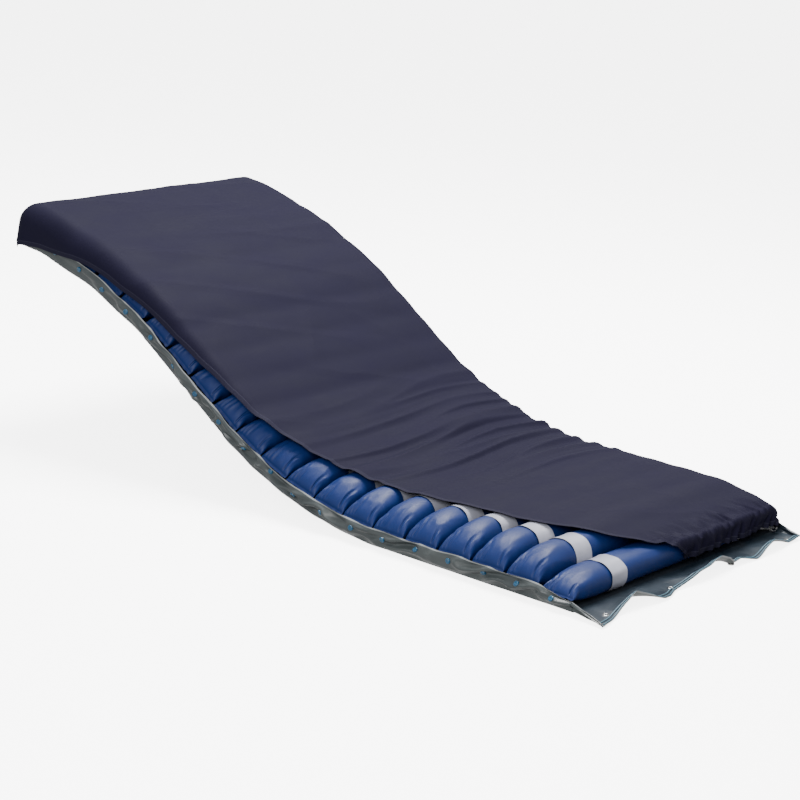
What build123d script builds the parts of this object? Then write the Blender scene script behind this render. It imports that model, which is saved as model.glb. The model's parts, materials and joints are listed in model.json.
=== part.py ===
"""Pressure relief mattress: transverse air cells held in loops on a jointed base sheet, under a
wrap-over cover, with the back section raised and the head section levelling out again.

Millimetres. +X points to the foot end, +Y to the far side, where the air lines run, and +Z up.
The origin is on the underside of the seat section, at its centre.
"""

import os
from math import cos, radians, sin, tan

from build123d import *

# ------------------------------------------------------------------ overall sizes
overall_width = 900.0  # outside of the cover's skirts
cell_pitch = 100.0  # from one air cell to the next along the mattress

# ------------------------------------------------------------------ stored pose and hinge clearances
waist_bend = 5.5  # degrees at each of the six waist hinges
neck_bend = 8.6  # degrees at each of the three neck hinges
closing_bend = 10.0  # the most that a hinge may close the top side
hinge_gap = 1.0  # each panel stops this far from its hinge line

# ------------------------------------------------------------------ air cells
cell_width = 86.0
cell_height = 104.0
cell_end_softness = 0.85  # share of the tightest curve of a cell's outline its end rounding may take
cell_tightest_curve = (cell_width / 2) ** 2 / (cell_height / 2)
cell_end_radius = min(30.0, cell_end_softness * cell_tightest_curve)  # rounding of the pillow ends
near_end_gap = 3.5  # between a cell's near end and the near flap
port_radius = 3.0
port_clearance = 0.4  # between a port and the line that feeds it

# ------------------------------------------------------------------ base sheet and its side flaps
sheet_thickness = 2.0
flap_thickness = 2.0
flap_height = 42.0  # above the sheet's middle plane
foot_flap_length = 80.0
seam_gap = 0.2  # between panels that are sewn edge to edge, and under a stud's discs

# ------------------------------------------------------------------ retaining loops
loop_width = 62.0
loop_inset = 162.0  # from the mattress's side to the middle of a loop
loop_thickness = 1.0
loop_clearance = 0.3  # between loop and cell, and between loop and sheet

# ------------------------------------------------------------------ snap studs on the side flaps
stud_height = 24.0
stud_cap_radius = 6.5
stud_cap_thickness = 2.0
stud_back_radius = 5.5
stud_back_thickness = 1.2
stud_shank_radius = 2.0
stud_hole_clearance = 0.2

# ------------------------------------------------------------------ cover
cover_thickness = 2.0
cover_clearance = 0.6  # above the loops
skirt_thickness = 2.0
skirt_clearance = 2.5  # between the skirt and the side flap, room for the stud caps
far_skirt_bottom = 46.0  # above the sheet's middle plane
near_skirt_bottom = {"neck_1": 78.0, "neck_2": 50.0, "head": 14.0}
end_drop_thickness = 2.0
end_drop_gap = 1.0  # between the mattress's end and the cover's drop there
foot_drop_bottom = 42.0
head_drop_bottom = 14.0
# how far the cover's near edge lies from the centre line, against the distance from the foot end
cover_edge = [(0.0, 172.0), (100.0, 200.0), (400.0, 290.0), (750.0, 345.0), (1000.0, 415.0)]

# ------------------------------------------------------------------ air lines, inlet and eyelets
line_radius = 4.0
line_a_height = 14.0
line_b_height = 26.0
line_gutter = 17.0  # between the cells' far ends and the far flap
line_flap_gap = 3.5  # between a line and the far flap
line_end_inset = 12.0  # from the head end to the end of a line
arc_share = 0.45  # of the shorter run beside a bend, taken by the bend's arc
inlet_length = 24.0
inlet_width = 11.0
inlet_height = 30.0
inlet_foot_gap = 3.0  # from the inlet's block to the foot end
nipple_radius = 3.0
nipple_length = 16.0
nipple_bore_radius = 1.8
inlet_corner_radius = 2.5
eyelet_bore_radius = 4.5
eyelet_barrel_radius = 6.0
eyelet_flange_radius = 8.5
eyelet_flange_thickness = 0.8
eyelet_edge_inset = 18.0  # from the foot flap's free edge
eyelet_side_inset = 40.5  # from each side of the foot flap
eyelet_count = 4
eyelet_clearance = 0.1

# ------------------------------------------------------------------ sections, from the foot to the head
# name, number of cells, bend at the hinge beyond it in degrees, and whether that hinge can close its top
sections = [
    ("calf", 2, 0.0, False),
    ("thigh", 2, 0.0, True),
    ("seat", 2, waist_bend, True),
    ("waist_1", 1, waist_bend, True),
    ("waist_2", 1, waist_bend, True),
    ("waist_3", 1, waist_bend, True),
    ("waist_4", 1, waist_bend, True),
    ("waist_5", 1, waist_bend, True),
    ("back", 4, -neck_bend, False),
    ("neck_1", 2, -neck_bend, False),
    ("neck_2", 2, -neck_bend, False),
    ("head", 1, 0.0, False),
]
root_section = "seat"

# ------------------------------------------------------------------ sizes that follow
half_width = overall_width / 2
sheet_top = sheet_thickness / 2
flap_outer = half_width - skirt_thickness - skirt_clearance
flap_inner = flap_outer - flap_thickness
near_end = flap_inner - near_end_gap
far_end = flap_inner - line_gutter
cell_bottom = sheet_top + loop_thickness + 2 * loop_clearance
cell_middle = cell_bottom + cell_height / 2
loop_grow = loop_clearance + loop_thickness
cover_bottom = cell_bottom + cell_height + loop_grow + cover_clearance
cover_top = cover_bottom + cover_thickness
line_middle = flap_inner - line_flap_gap - line_radius
loop_middle = half_width - loop_inset


def closing_setback(height):
    """How far a wall of this height stays from a hinge that closes its top side."""
    return height * tan(radians(closing_bend / 2)) + hinge_gap


class Section:
    """One stiff stretch of the mattress, with its own axes: x to the foot end, z away from the sheet."""

    def __init__(self, name, first_cell, cells, station, tilt, x, z, closes):
        self.name = name
        self.cell_numbers = range(first_cell, first_cell + cells)
        self.length = cells * cell_pitch
        self.tilt = tilt
        self.station = station  # distance of its foot-side hinge from the foot end
        self.closes_foot, self.closes_head = closes
        # the middle plane of the sheet, its origin on the foot-side hinge line
        out = (cos(radians(tilt)), 0, -sin(radians(tilt)))
        up = (sin(radians(tilt)), 0, cos(radians(tilt)))
        self.floor = Plane(origin=(x, 0, z), x_dir=out, z_dir=up)
        # the upright plane along the mattress, seen from the near side
        self.side = Plane(origin=(x, 0, z), x_dir=out, z_dir=(0, -1, 0))
        # the upright plane across the mattress, its normal towards the foot end
        self.cross = Plane(origin=(x, 0, z), x_dir=(0, 1, 0), z_dir=out)

    def cell_middles(self):
        """Where each cell's middle lies along the section's own x axis."""
        return [-cell_pitch * (i + 0.5) for i in range(len(self.cell_numbers))]

    def span(self, height, beyond_foot=0.0, beyond_head=0.0):
        """The stretch that a piece this high fills, and how far it runs past the mattress's two ends."""
        low = closing_setback(height) if self.closes_head else hinge_gap
        high = closing_setback(height) if self.closes_foot else hinge_gap
        if self.name == sections[-1][0]:
            low = -beyond_head
        if self.name == sections[0][0]:
            high = -beyond_foot
        return -self.length + low, -high


def place_sections():
    """Lay the sections out from the root section, which lies flat with its underside at z = 0."""
    names = [row[0] for row in sections]
    root = names.index(root_section)
    joints = [0.0] + [row[2] for row in sections[:-1]]
    tilts = [0.0] * len(sections)
    for i in range(root + 1, len(sections)):
        tilts[i] = tilts[i - 1] + joints[i]
    for i in range(root - 1, -1, -1):
        tilts[i] = tilts[i + 1] - joints[i + 1]
    lengths = [row[1] * cell_pitch for row in sections]
    xs = [0.0] * len(sections)
    zs = [0.0] * len(sections)
    xs[root], zs[root] = lengths[root] / 2, sheet_thickness / 2
    for i in range(root + 1, len(sections)):
        xs[i] = xs[i - 1] - lengths[i - 1] * cos(radians(tilts[i - 1]))
        zs[i] = zs[i - 1] + lengths[i - 1] * sin(radians(tilts[i - 1]))
    for i in range(root - 1, -1, -1):
        xs[i] = xs[i + 1] + lengths[i] * cos(radians(tilts[i]))
        zs[i] = zs[i + 1] - lengths[i] * sin(radians(tilts[i]))
    placed = []
    first_cell, station = 1, 0.0
    for i, (name, cells, _, closes_head) in enumerate(sections):
        closes_foot = i > 0 and sections[i - 1][3]
        placed.append(
            Section(name, first_cell, cells, station, tilts[i], xs[i], zs[i], (closes_foot, closes_head))
        )
        first_cell += cells
        station += lengths[i]
    return placed


def cover_reach(station):
    """How far the cover's near edge lies from the centre line at this distance from the foot end."""
    for (s0, y0), (s1, y1) in zip(cover_edge, cover_edge[1:]):
        if station <= s1:
            return y0 + (y1 - y0) * (station - s0) / (s1 - s0)
    last_station, last_reach = cover_edge[-1]
    share = min(1.0, (station - last_station) / (wrap_station - last_station))
    return last_reach + (half_width - last_reach) * share


def write(piece, name):
    """Label a finished piece and write it out."""
    piece.part.label = name
    export_step(piece.part, "parts/" + name + ".step")


def make_cell(section, number, middle):
    """One air cell: a tube across the mattress with pillow ends and a port on its far end."""
    with BuildPart() as cell:
        with BuildSketch(section.side.offset(-far_end)):
            with Locations((middle, cell_middle)):
                Ellipse(cell_width / 2, cell_height / 2)
        extrude(amount=far_end + near_end)
        ends = cell.edges().group_by(Axis.Y)
        fillet(ends[0] + ends[-1], radius=cell_end_radius)
        port_height = line_a_height if number % 2 else line_b_height
        port_tip = line_middle - line_radius - port_clearance
        with BuildSketch(section.side.offset(-port_tip)):
            with Locations((middle, port_height)):
                Circle(port_radius)
        extrude(amount=port_tip - far_end + cell_end_radius)
    write(cell, "air_cell_%02d" % number)


def make_loops(section):
    """The white bands that hold the cells down, one near each end of every cell."""
    with BuildPart() as loops:
        for middle in section.cell_middles():
            for side in (loop_middle, -loop_middle):
                with BuildSketch(section.side.offset(side - loop_width / 2)):
                    with Locations((middle, cell_middle)):
                        Ellipse(cell_width / 2 + loop_grow, cell_height / 2 + loop_grow)
                        Ellipse(
                            cell_width / 2 + loop_clearance,
                            cell_height / 2 + loop_clearance,
                            mode=Mode.SUBTRACT,
                        )
                extrude(amount=loop_width)
    write(loops, "cell_loops_" + section.name)


def make_base(section):
    """One panel of the base sheet with its side flaps, and the snap studs that hold the cell ends."""
    with BuildPart() as base:
        low, high = section.span(sheet_top)
        with BuildSketch(section.floor.offset(-sheet_top)):
            with Locations(((low + high) / 2, 0)):
                Rectangle(high - low, 2 * flap_outer)
        extrude(amount=sheet_thickness)
        low, high = section.span(flap_height)
        wall_bottom = sheet_top + seam_gap
        for side in (1, -1):
            with BuildSketch(section.side.offset(side * flap_inner)):
                with Locations(((low + high) / 2, (wall_bottom + flap_height) / 2)):
                    Rectangle(high - low, flap_height - wall_bottom)
                with Locations([(x, stud_height) for x in section.cell_middles()]):
                    Circle(stud_shank_radius + stud_hole_clearance, mode=Mode.SUBTRACT)
            extrude(amount=side * flap_thickness)
            back_face = flap_inner - seam_gap - stud_back_thickness
            cap_face = flap_outer + seam_gap
            for radius, face, depth in (
                (stud_back_radius, back_face, stud_back_thickness),
                (stud_shank_radius, back_face, cap_face - back_face + stud_cap_thickness / 2),
                (stud_cap_radius, cap_face, stud_cap_thickness),
            ):
                with BuildSketch(section.side.offset(side * face)):
                    with Locations([(x, stud_height) for x in section.cell_middles()]):
                        Circle(radius)
                extrude(amount=side * depth)
        if section.name == sections[-1][0]:
            with BuildSketch(section.cross.offset(-section.length)):
                with Locations((0, (wall_bottom + flap_height) / 2)):
                    Rectangle(2 * (flap_inner - seam_gap), flap_height - wall_bottom)
            extrude(amount=flap_thickness)
        if section.name == sections[0][0]:
            with BuildSketch(section.floor.offset(-sheet_top)):
                with Locations(((seam_gap + foot_flap_length) / 2, 0)):
                    Rectangle(foot_flap_length - seam_gap, 2 * flap_outer)
                with Locations(eyelet_places()):
                    Circle(eyelet_barrel_radius + eyelet_clearance, mode=Mode.SUBTRACT)
            extrude(amount=sheet_thickness)
            with BuildSketch(section.floor.offset(-sheet_top)):
                with Locations(eyelet_places()):
                    Circle(eyelet_flange_radius + eyelet_clearance)
            extrude(amount=eyelet_flange_thickness, mode=Mode.SUBTRACT)
    write(base, "base_sheet_" + section.name)


def make_cover(section):
    """One panel of the cover: its top, its far skirt, and at the mattress's ends its drops."""
    first = section.name == sections[0][0]
    last = section.name == sections[-1][0]
    beyond = end_drop_gap + end_drop_thickness
    low, high = section.span(cover_top, beyond, beyond)
    stations = [section.station - x for x in (high, low)]
    inner = [s for s, _ in cover_edge if stations[0] < s < stations[1]]
    near_points = [
        (section.station - s, -cover_reach(s)) for s in [stations[0]] + inner + [stations[1]]
    ]
    skirt_top = cover_bottom - seam_gap
    with BuildPart() as cover:
        with BuildSketch(section.floor.offset(cover_bottom)):
            Polygon(*near_points, (low, half_width), (high, half_width), align=None)
        extrude(amount=cover_thickness)
        skirts = [(-1, far_skirt_bottom)]
        if section.name in near_skirt_bottom:
            skirts.append((1, near_skirt_bottom[section.name]))
        for side, bottom in skirts:
            with BuildSketch(section.side.offset(side * (half_width - skirt_thickness))):
                with Locations(((low + high) / 2, (bottom + skirt_top) / 2)):
                    Rectangle(high - low, skirt_top - bottom)
            extrude(amount=side * skirt_thickness)
        drop_far = half_width - skirt_thickness - seam_gap
        if first:
            drop_near = -cover_reach(0)
            with BuildSketch(section.cross.offset(end_drop_gap)):
                with Locations(((drop_near + drop_far) / 2, (foot_drop_bottom + skirt_top) / 2)):
                    Rectangle(drop_far - drop_near, skirt_top - foot_drop_bottom)
            extrude(amount=end_drop_thickness)
        if last:
            with BuildSketch(section.cross.offset(-section.length - end_drop_gap)):
                with Locations((0, (head_drop_bottom + skirt_top) / 2)):
                    Rectangle(2 * drop_far, skirt_top - head_drop_bottom)
            extrude(amount=-end_drop_thickness)
    write(cover, "top_cover_" + section.name)


def eyelet_places():
    """The eyelets' places on the foot flap, in the calf section's own axes."""
    x = foot_flap_length - eyelet_edge_inset
    outermost = flap_outer - eyelet_side_inset
    pitch = 2 * outermost / (eyelet_count - 1)
    return [(x, outermost - number * pitch) for number in range(eyelet_count)]


def make_eyelets(section):
    """The metal eyelets set in the foot flap, their lower flanges let in flush with its underside."""
    with BuildPart() as eyelets:
        for radius, bottom, depth in (
            (eyelet_flange_radius, -sheet_top, eyelet_flange_thickness),
            (eyelet_barrel_radius, -sheet_top, sheet_thickness + eyelet_flange_thickness),
            (eyelet_flange_radius, sheet_top, eyelet_flange_thickness),
        ):
            with BuildSketch(section.floor.offset(bottom)):
                with Locations(eyelet_places()):
                    Circle(radius)
                    Circle(eyelet_bore_radius, mode=Mode.SUBTRACT)
            extrude(amount=depth)
    write(eyelets, "foot_eyelets")


def make_inlet(section):
    """The air inlet at the far foot corner: a block with one nipple for each air line."""
    with BuildPart() as inlet:
        with BuildSketch(section.cross.offset(-inlet_foot_gap)):
            with Locations((line_middle, (line_a_height + line_b_height) / 2)):
                RectangleRounded(inlet_width, inlet_height, inlet_corner_radius)
        extrude(amount=-inlet_length)
        with BuildSketch(section.cross.offset(-inlet_foot_gap)):
            with Locations((line_middle, line_a_height), (line_middle, line_b_height)):
                Circle(nipple_radius)
        extrude(amount=nipple_length)
        with BuildSketch(section.cross.offset(nipple_length - inlet_foot_gap)):
            with Locations((line_middle, line_a_height), (line_middle, line_b_height)):
                Circle(nipple_bore_radius)
        extrude(amount=-nipple_length - inlet_length / 2, mode=Mode.SUBTRACT)
    write(inlet, "air_inlet")


def make_line(height, name):
    """One air line: a tube along the far side, at this height over the sheet, through every section."""
    start = placed_sections[0].floor * Location((-inlet_foot_gap - inlet_length, 0, height))
    corners = []
    bends = []
    for before, section in zip(placed_sections, placed_sections[1:]):
        if section.tilt == before.tilt:
            continue
        middle_tilt = radians((before.tilt + section.tilt) / 2)
        half_bend = radians(section.tilt - before.tilt) / 2
        rise = height / cos(half_bend)
        corners.append(section.floor.origin + Vector(sin(middle_tilt), 0, cos(middle_tilt)) * rise)
        bends.append(half_bend)
    last = placed_sections[-1]
    end = last.floor * Location((-last.length + line_end_inset, 0, height))
    points = [start.position] + corners + [end.position]
    points = [point + Vector(0, line_middle, 0) for point in points]
    runs = [(b - a).length for a, b in zip(points, points[1:])]
    radii = [
        arc_share * min(r0, r1) / abs(tan(half_bend))
        for r0, r1, half_bend in zip(runs, runs[1:], bends)
    ]
    print(name, "arc radii", [round(radius) for radius in radii])
    with BuildPart() as line:
        with BuildLine() as route:
            FilletPolyline(*points, radius=radii)
        with BuildSketch(Plane(origin=route.line @ 0, z_dir=route.line % 0)):
            Circle(line_radius)
        sweep()
    write(line, name)


os.makedirs("parts", exist_ok=True)
placed_sections = place_sections()
wrap_station = next(s.station for s in placed_sections if s.name in near_skirt_bottom)

for placed in placed_sections:
    make_base(placed)
    make_loops(placed)
    make_cover(placed)
    for cell_number, cell_middle_x in zip(placed.cell_numbers, placed.cell_middles()):
        make_cell(placed, cell_number, cell_middle_x)
make_eyelets(placed_sections[0])
make_inlet(placed_sections[0])
make_line(line_a_height, "air_line_a")
make_line(line_b_height, "air_line_b")
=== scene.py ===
"""Looks of the pressure relief mattress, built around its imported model.

Metres throughout. A place on the mattress is given by its station, the distance from the foot end
along the base sheet, by how far it lies across, and by its height over the sheet's middle plane.
"""

from __future__ import annotations

import json
import logging
import math
from dataclasses import dataclass, field
from enum import Enum
from typing import Callable, Iterable, Sequence

import bmesh
import bpy
from mathutils import Matrix, Vector, noise

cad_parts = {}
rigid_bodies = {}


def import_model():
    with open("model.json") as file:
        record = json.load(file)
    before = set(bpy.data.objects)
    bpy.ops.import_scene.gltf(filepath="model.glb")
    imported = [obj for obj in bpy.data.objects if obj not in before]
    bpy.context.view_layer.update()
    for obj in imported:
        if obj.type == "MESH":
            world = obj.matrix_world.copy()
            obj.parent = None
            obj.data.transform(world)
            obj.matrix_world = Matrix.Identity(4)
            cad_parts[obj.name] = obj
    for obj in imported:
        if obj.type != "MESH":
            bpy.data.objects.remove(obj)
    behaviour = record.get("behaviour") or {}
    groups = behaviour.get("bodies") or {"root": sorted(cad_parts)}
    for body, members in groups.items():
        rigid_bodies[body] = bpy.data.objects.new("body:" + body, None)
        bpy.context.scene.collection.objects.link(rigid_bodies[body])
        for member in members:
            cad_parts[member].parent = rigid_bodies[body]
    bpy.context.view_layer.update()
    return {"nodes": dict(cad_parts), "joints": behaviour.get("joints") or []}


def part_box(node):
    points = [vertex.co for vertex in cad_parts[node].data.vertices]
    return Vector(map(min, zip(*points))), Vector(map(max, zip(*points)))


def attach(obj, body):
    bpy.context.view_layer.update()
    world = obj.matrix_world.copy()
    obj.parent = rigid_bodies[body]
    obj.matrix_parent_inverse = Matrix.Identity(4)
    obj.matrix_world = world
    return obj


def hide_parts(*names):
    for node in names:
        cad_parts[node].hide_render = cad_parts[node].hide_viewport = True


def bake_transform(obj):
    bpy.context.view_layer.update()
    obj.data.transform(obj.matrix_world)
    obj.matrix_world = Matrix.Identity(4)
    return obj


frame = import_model()

LOG = logging.getLogger("mattress")
ACROSS = Vector((0.0, 1.0, 0.0))
MERGE = 0.00001
SECTIONS = (
    "calf", "thigh", "seat", "waist_1", "waist_2", "waist_3",
    "waist_4", "waist_5", "back", "neck_1", "neck_2", "head",
)


class Slot(Enum):
    """The record's material slots."""

    CELL = "cell_nylon"
    BASE = "base_nylon"
    LOOP = "loop_satin"
    COVER = "cover_stretch"
    LINE = "line_vinyl"
    INLET = "inlet_plastic"
    EYELET = "eyelet_nickel"


# ---------------------------------------------------------------------------------------- small maths


def smooth_step(value: float) -> float:
    """Ease from 0 to 1 as value goes from 0 to 1."""
    value = min(max(value, 0.0), 1.0)
    return value * value * (3.0 - 2.0 * value)


def ramp(value: float, low: float, high: float) -> float:
    """Ease from 0 to 1 as value goes from low to high."""
    return smooth_step((value - low) / (high - low))


def bump(value: float, middle: float, half_width: float) -> float:
    """A smooth hump of height 1 at middle that has died away half_width to each side."""
    return 1.0 - ramp(abs(value - middle), 0.0, half_width)


def ridged(x: float, y: float, seed: float) -> float:
    """Noise with sharp crests, from -1 to 1, as creased cloth has."""
    value = noise.noise(Vector((x, y, seed)))
    return 1.0 - 4.0 * abs(value)


# ------------------------------------------------------------------------------------------- the spine


@dataclass(frozen=True)
class Stretch:
    """One stiff stretch of the mattress, which moves with the body of the same name."""

    name: str
    start: float
    length: float
    hinge: Vector
    tilt: float

    @property
    def headward(self) -> Vector:
        """The way along the sheet to the head end."""
        return Vector((-math.cos(self.tilt), 0.0, math.sin(self.tilt)))

    @property
    def upward(self) -> Vector:
        """The way out of the sheet, towards the person."""
        return Vector((math.sin(self.tilt), 0.0, math.cos(self.tilt)))

    @property
    def middle(self) -> float:
        """The station of its middle."""
        return self.start + self.length / 2

    def place(self, station: float, across: float, height: float) -> Vector:
        """The point there, as if the whole mattress were as straight as this stretch."""
        return self.hinge + self.headward * (station - self.start) + ACROSS * across + self.upward * height

    def matrix(self, station: float) -> Matrix:
        """Axes at a station: x to the foot end, y across and z out of the sheet."""
        place = self.place(station, 0.0, 0.0)
        columns = (-self.headward, ACROSS, self.upward)
        turn = Matrix([[column[row] for column in columns] for row in range(3)])
        return Matrix.Translation(place) @ turn.to_4x4()


@dataclass
class Spine:
    """The line of the base sheet from the foot end to the head end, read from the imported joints."""

    widest_bend: float = 0.1
    stretches: list[Stretch] = field(default_factory=list)

    def __post_init__(self) -> None:
        """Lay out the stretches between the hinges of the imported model."""
        hinges = []
        for low, high in zip(SECTIONS, SECTIONS[1:]):
            joint = next(j for j in frame["joints"] if {j["parent"], j["child"]} == {low, high})
            hinges.append(Vector(joint["pos_m"]))
        runs = [b - a for a, b in zip(hinges, hinges[1:])]
        tilts = [math.atan2(run.z, -run.x) for run in runs]
        pitch = runs[2].length
        tilts = [tilts[0]] + tilts + [2 * tilts[-1] - tilts[-2]]
        lengths = [runs[0].length] + [run.length for run in runs] + [pitch]
        hinges.insert(0, hinges[0] - runs[0])
        station = 0.0
        for name, hinge, tilt, length in zip(SECTIONS, hinges, tilts, lengths):
            self.stretches.append(Stretch(name, station, length, hinge, tilt))
            station += length
        self.pitch = pitch
        self.length = station

    def zone(self, number: int) -> float:
        """How far to each side the hinge before stretch number bends cloth."""
        low, high = self.stretches[number - 1], self.stretches[number]
        return min(low.length / 2, high.length / 2, self.widest_bend)

    def point(self, station: float, across: float, height: float) -> Vector:
        """The point there, with the bends at the hinges rounded."""
        number = len(self.stretches) - 1
        while number > 0 and station < self.stretches[number].start:
            number -= 1
        here = self.stretches[number]
        place = here.place(station, across, height)
        if number > 0:
            gap, zone = station - here.start, self.zone(number)
            if gap < zone:
                share = smooth_step((gap + zone) / (2 * zone))
                return self.stretches[number - 1].place(station, across, height).lerp(place, share)
        if number + 1 < len(self.stretches):
            beyond = self.stretches[number + 1]
            gap, zone = beyond.start - station, self.zone(number + 1)
            if gap < zone:
                share = smooth_step((zone - gap) / (2 * zone))
                return place.lerp(beyond.place(station, across, height), share)
        return place

    def spans(self, foot: float, head: float) -> list[tuple[int, float, float]]:
        """Cut a cloth from station foot to station head into one piece for each hinge.

        Args:
            foot: the cloth's first station, which may lie before the foot end.
            head: the cloth's last station.

        Returns:
            The number of the stretch before each hinge, with the piece's first and last station.
        """
        cuts = [foot] + [s.middle for s in self.stretches[1:-1]] + [head]
        return [(i, low, high) for i, (low, high) in enumerate(zip(cuts, cuts[1:]))]

    def bend(self, piece: bpy.types.Object, number: int) -> None:
        """Bake a finished cloth piece's placement into its mesh; the ends of its bend zone at the hinge
        after stretch number are found but not used.
        """
        low, high = self.stretches[number], self.stretches[number + 1]
        zone = self.zone(number + 1)
        start = low.place(high.start - zone, 0.0, 0.0)
        end = high.place(high.start + zone, 0.0, 0.0)
        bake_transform(piece)
        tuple(start)
        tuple(end)


# ------------------------------------------------------------------------------------------- materials


class Nodes:
    """Short ways to add and join the nodes of one tree."""

    def __init__(self, tree: bpy.types.NodeTree) -> None:
        """Work on this tree."""
        self.tree = tree

    def add(self, kind: str, **settings: object) -> bpy.types.Node:
        """Add a node, with properties set by name."""
        node = self.tree.nodes.new(kind)
        for name, value in settings.items():
            setattr(node, name, value)
        return node

    def link(self, out: bpy.types.NodeSocket, into: bpy.types.NodeSocket) -> None:
        """Join an output to an input."""
        self.tree.links.new(out, into)

    def math(self, operation: str, first: object, second: object = 0.0) -> bpy.types.NodeSocket:
        """A Math node of two values, each a number or a socket."""
        node = self.add("ShaderNodeMath", operation=operation)
        for socket, value in zip(node.inputs, (first, second)):
            if isinstance(value, (int, float)):
                socket.default_value = value
            else:
                self.link(value, socket)
        return node.outputs[0]

    def mix(self, share: object, low: object, high: object) -> bpy.types.NodeSocket:
        """Mix two colours by a share, each a value or a socket."""
        node = self.add("ShaderNodeMix", data_type="RGBA")
        for socket, value in zip((node.inputs[0], node.inputs[6], node.inputs[7]), (share, low, high)):
            if isinstance(value, bpy.types.NodeSocket):
                self.link(value, socket)
            else:
                socket.default_value = value
        return node.outputs[2]

    def between(
        self, value: object, low: float, high: float, to_low: float, to_high: float
    ) -> bpy.types.NodeSocket:
        """Map a value's range on to another one, without passing its ends."""
        node = self.add("ShaderNodeMapRange", clamp=True)
        self.link(value, node.inputs[0])
        for socket, number in zip(node.inputs[1:5], (low, high, to_low, to_high)):
            socket.default_value = number
        return node.outputs[0]


def colour(red: float, green: float, blue: float) -> tuple[float, float, float, float]:
    """A colour with full alpha."""
    return (red, green, blue, 1.0)


def new_group(name: str, inputs: dict[str, float], outputs: Iterable[str]) -> bpy.types.NodeTree:
    """An empty shader group with number inputs, a Vector input and number outputs."""
    tree = bpy.data.node_groups.new(name, "ShaderNodeTree")
    tree.interface.new_socket("Vector", in_out="INPUT", socket_type="NodeSocketVector")
    for label, value in inputs.items():
        socket = tree.interface.new_socket(label, in_out="INPUT", socket_type="NodeSocketFloat")
        socket.default_value = value
    for label in outputs:
        tree.interface.new_socket(label, in_out="OUTPUT", socket_type="NodeSocketFloat")
    return tree


def weave_group() -> bpy.types.NodeTree:
    """Crossed yarns of a plain weave, as a height from 0 to 1."""
    tree = new_group("plain_weave", {"Yarns": 400.0}, ["Height"])
    nodes = Nodes(tree)
    given = nodes.add("NodeGroupInput")
    shown = nodes.add("NodeGroupOutput")
    heights = []
    for direction in ("X", "Y"):
        wave = nodes.add("ShaderNodeTexWave", bands_direction=direction, wave_profile="SIN")
        nodes.link(given.outputs["Vector"], wave.inputs["Vector"])
        nodes.link(given.outputs["Yarns"], wave.inputs["Scale"])
        heights.append(wave.outputs["Fac"])
    nodes.link(nodes.math("MULTIPLY", heights[0], heights[1]), shown.inputs["Height"])
    return tree


def rumple_group() -> bpy.types.NodeTree:
    """Soft handling creases and a cloudy tone: a height and a mask, each from 0 to 1."""
    tree = new_group("handling_rumples", {"Size": 12.0, "Roughness": 0.55}, ["Height", "Tone"])
    nodes = Nodes(tree)
    given = nodes.add("NodeGroupInput")
    shown = nodes.add("NodeGroupOutput")
    fold = nodes.add("ShaderNodeTexNoise", noise_type="RIDGED_MULTIFRACTAL")
    cloud = nodes.add("ShaderNodeTexNoise")
    cloud.inputs["Detail"].default_value = 3.0
    fold.inputs["Detail"].default_value = 3.0
    for texture in (fold, cloud):
        nodes.link(given.outputs["Vector"], texture.inputs["Vector"])
        nodes.link(given.outputs["Size"], texture.inputs["Scale"])
        nodes.link(given.outputs["Roughness"], texture.inputs["Roughness"])
    nodes.link(fold.outputs["Fac"], shown.inputs["Height"])
    nodes.link(cloud.outputs["Fac"], shown.inputs["Tone"])
    return tree


def stitch_group() -> bpy.types.NodeTree:
    """A row of stitches along an edge: a mask that is 1 on each stitch."""
    inputs = {"Edge": 0.0, "Along": 0.0, "Inset": 0.01, "Pitch": 0.005}
    tree = new_group("stitch_row", inputs, ["Mask"])
    nodes = Nodes(tree)
    given = nodes.add("NodeGroupInput")
    shown = nodes.add("NodeGroupOutput")
    off = nodes.math("SUBTRACT", given.outputs["Edge"], given.outputs["Inset"])
    line = nodes.between(nodes.math("ABSOLUTE", off), 0.0004, 0.0009, 1.0, 0.0)
    turns = nodes.math("DIVIDE", given.outputs["Along"], given.outputs["Pitch"])
    dash = nodes.between(nodes.math("PINGPONG", turns, 0.5), 0.12, 0.2, 0.0, 1.0)
    nodes.link(nodes.math("MULTIPLY", line, dash), shown.inputs["Mask"])
    return tree


@dataclass
class Effects:
    """The shader groups that several finishes share."""

    weave: bpy.types.NodeTree = field(default_factory=weave_group)
    rumple: bpy.types.NodeTree = field(default_factory=rumple_group)
    stitches: bpy.types.NodeTree = field(default_factory=stitch_group)


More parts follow.
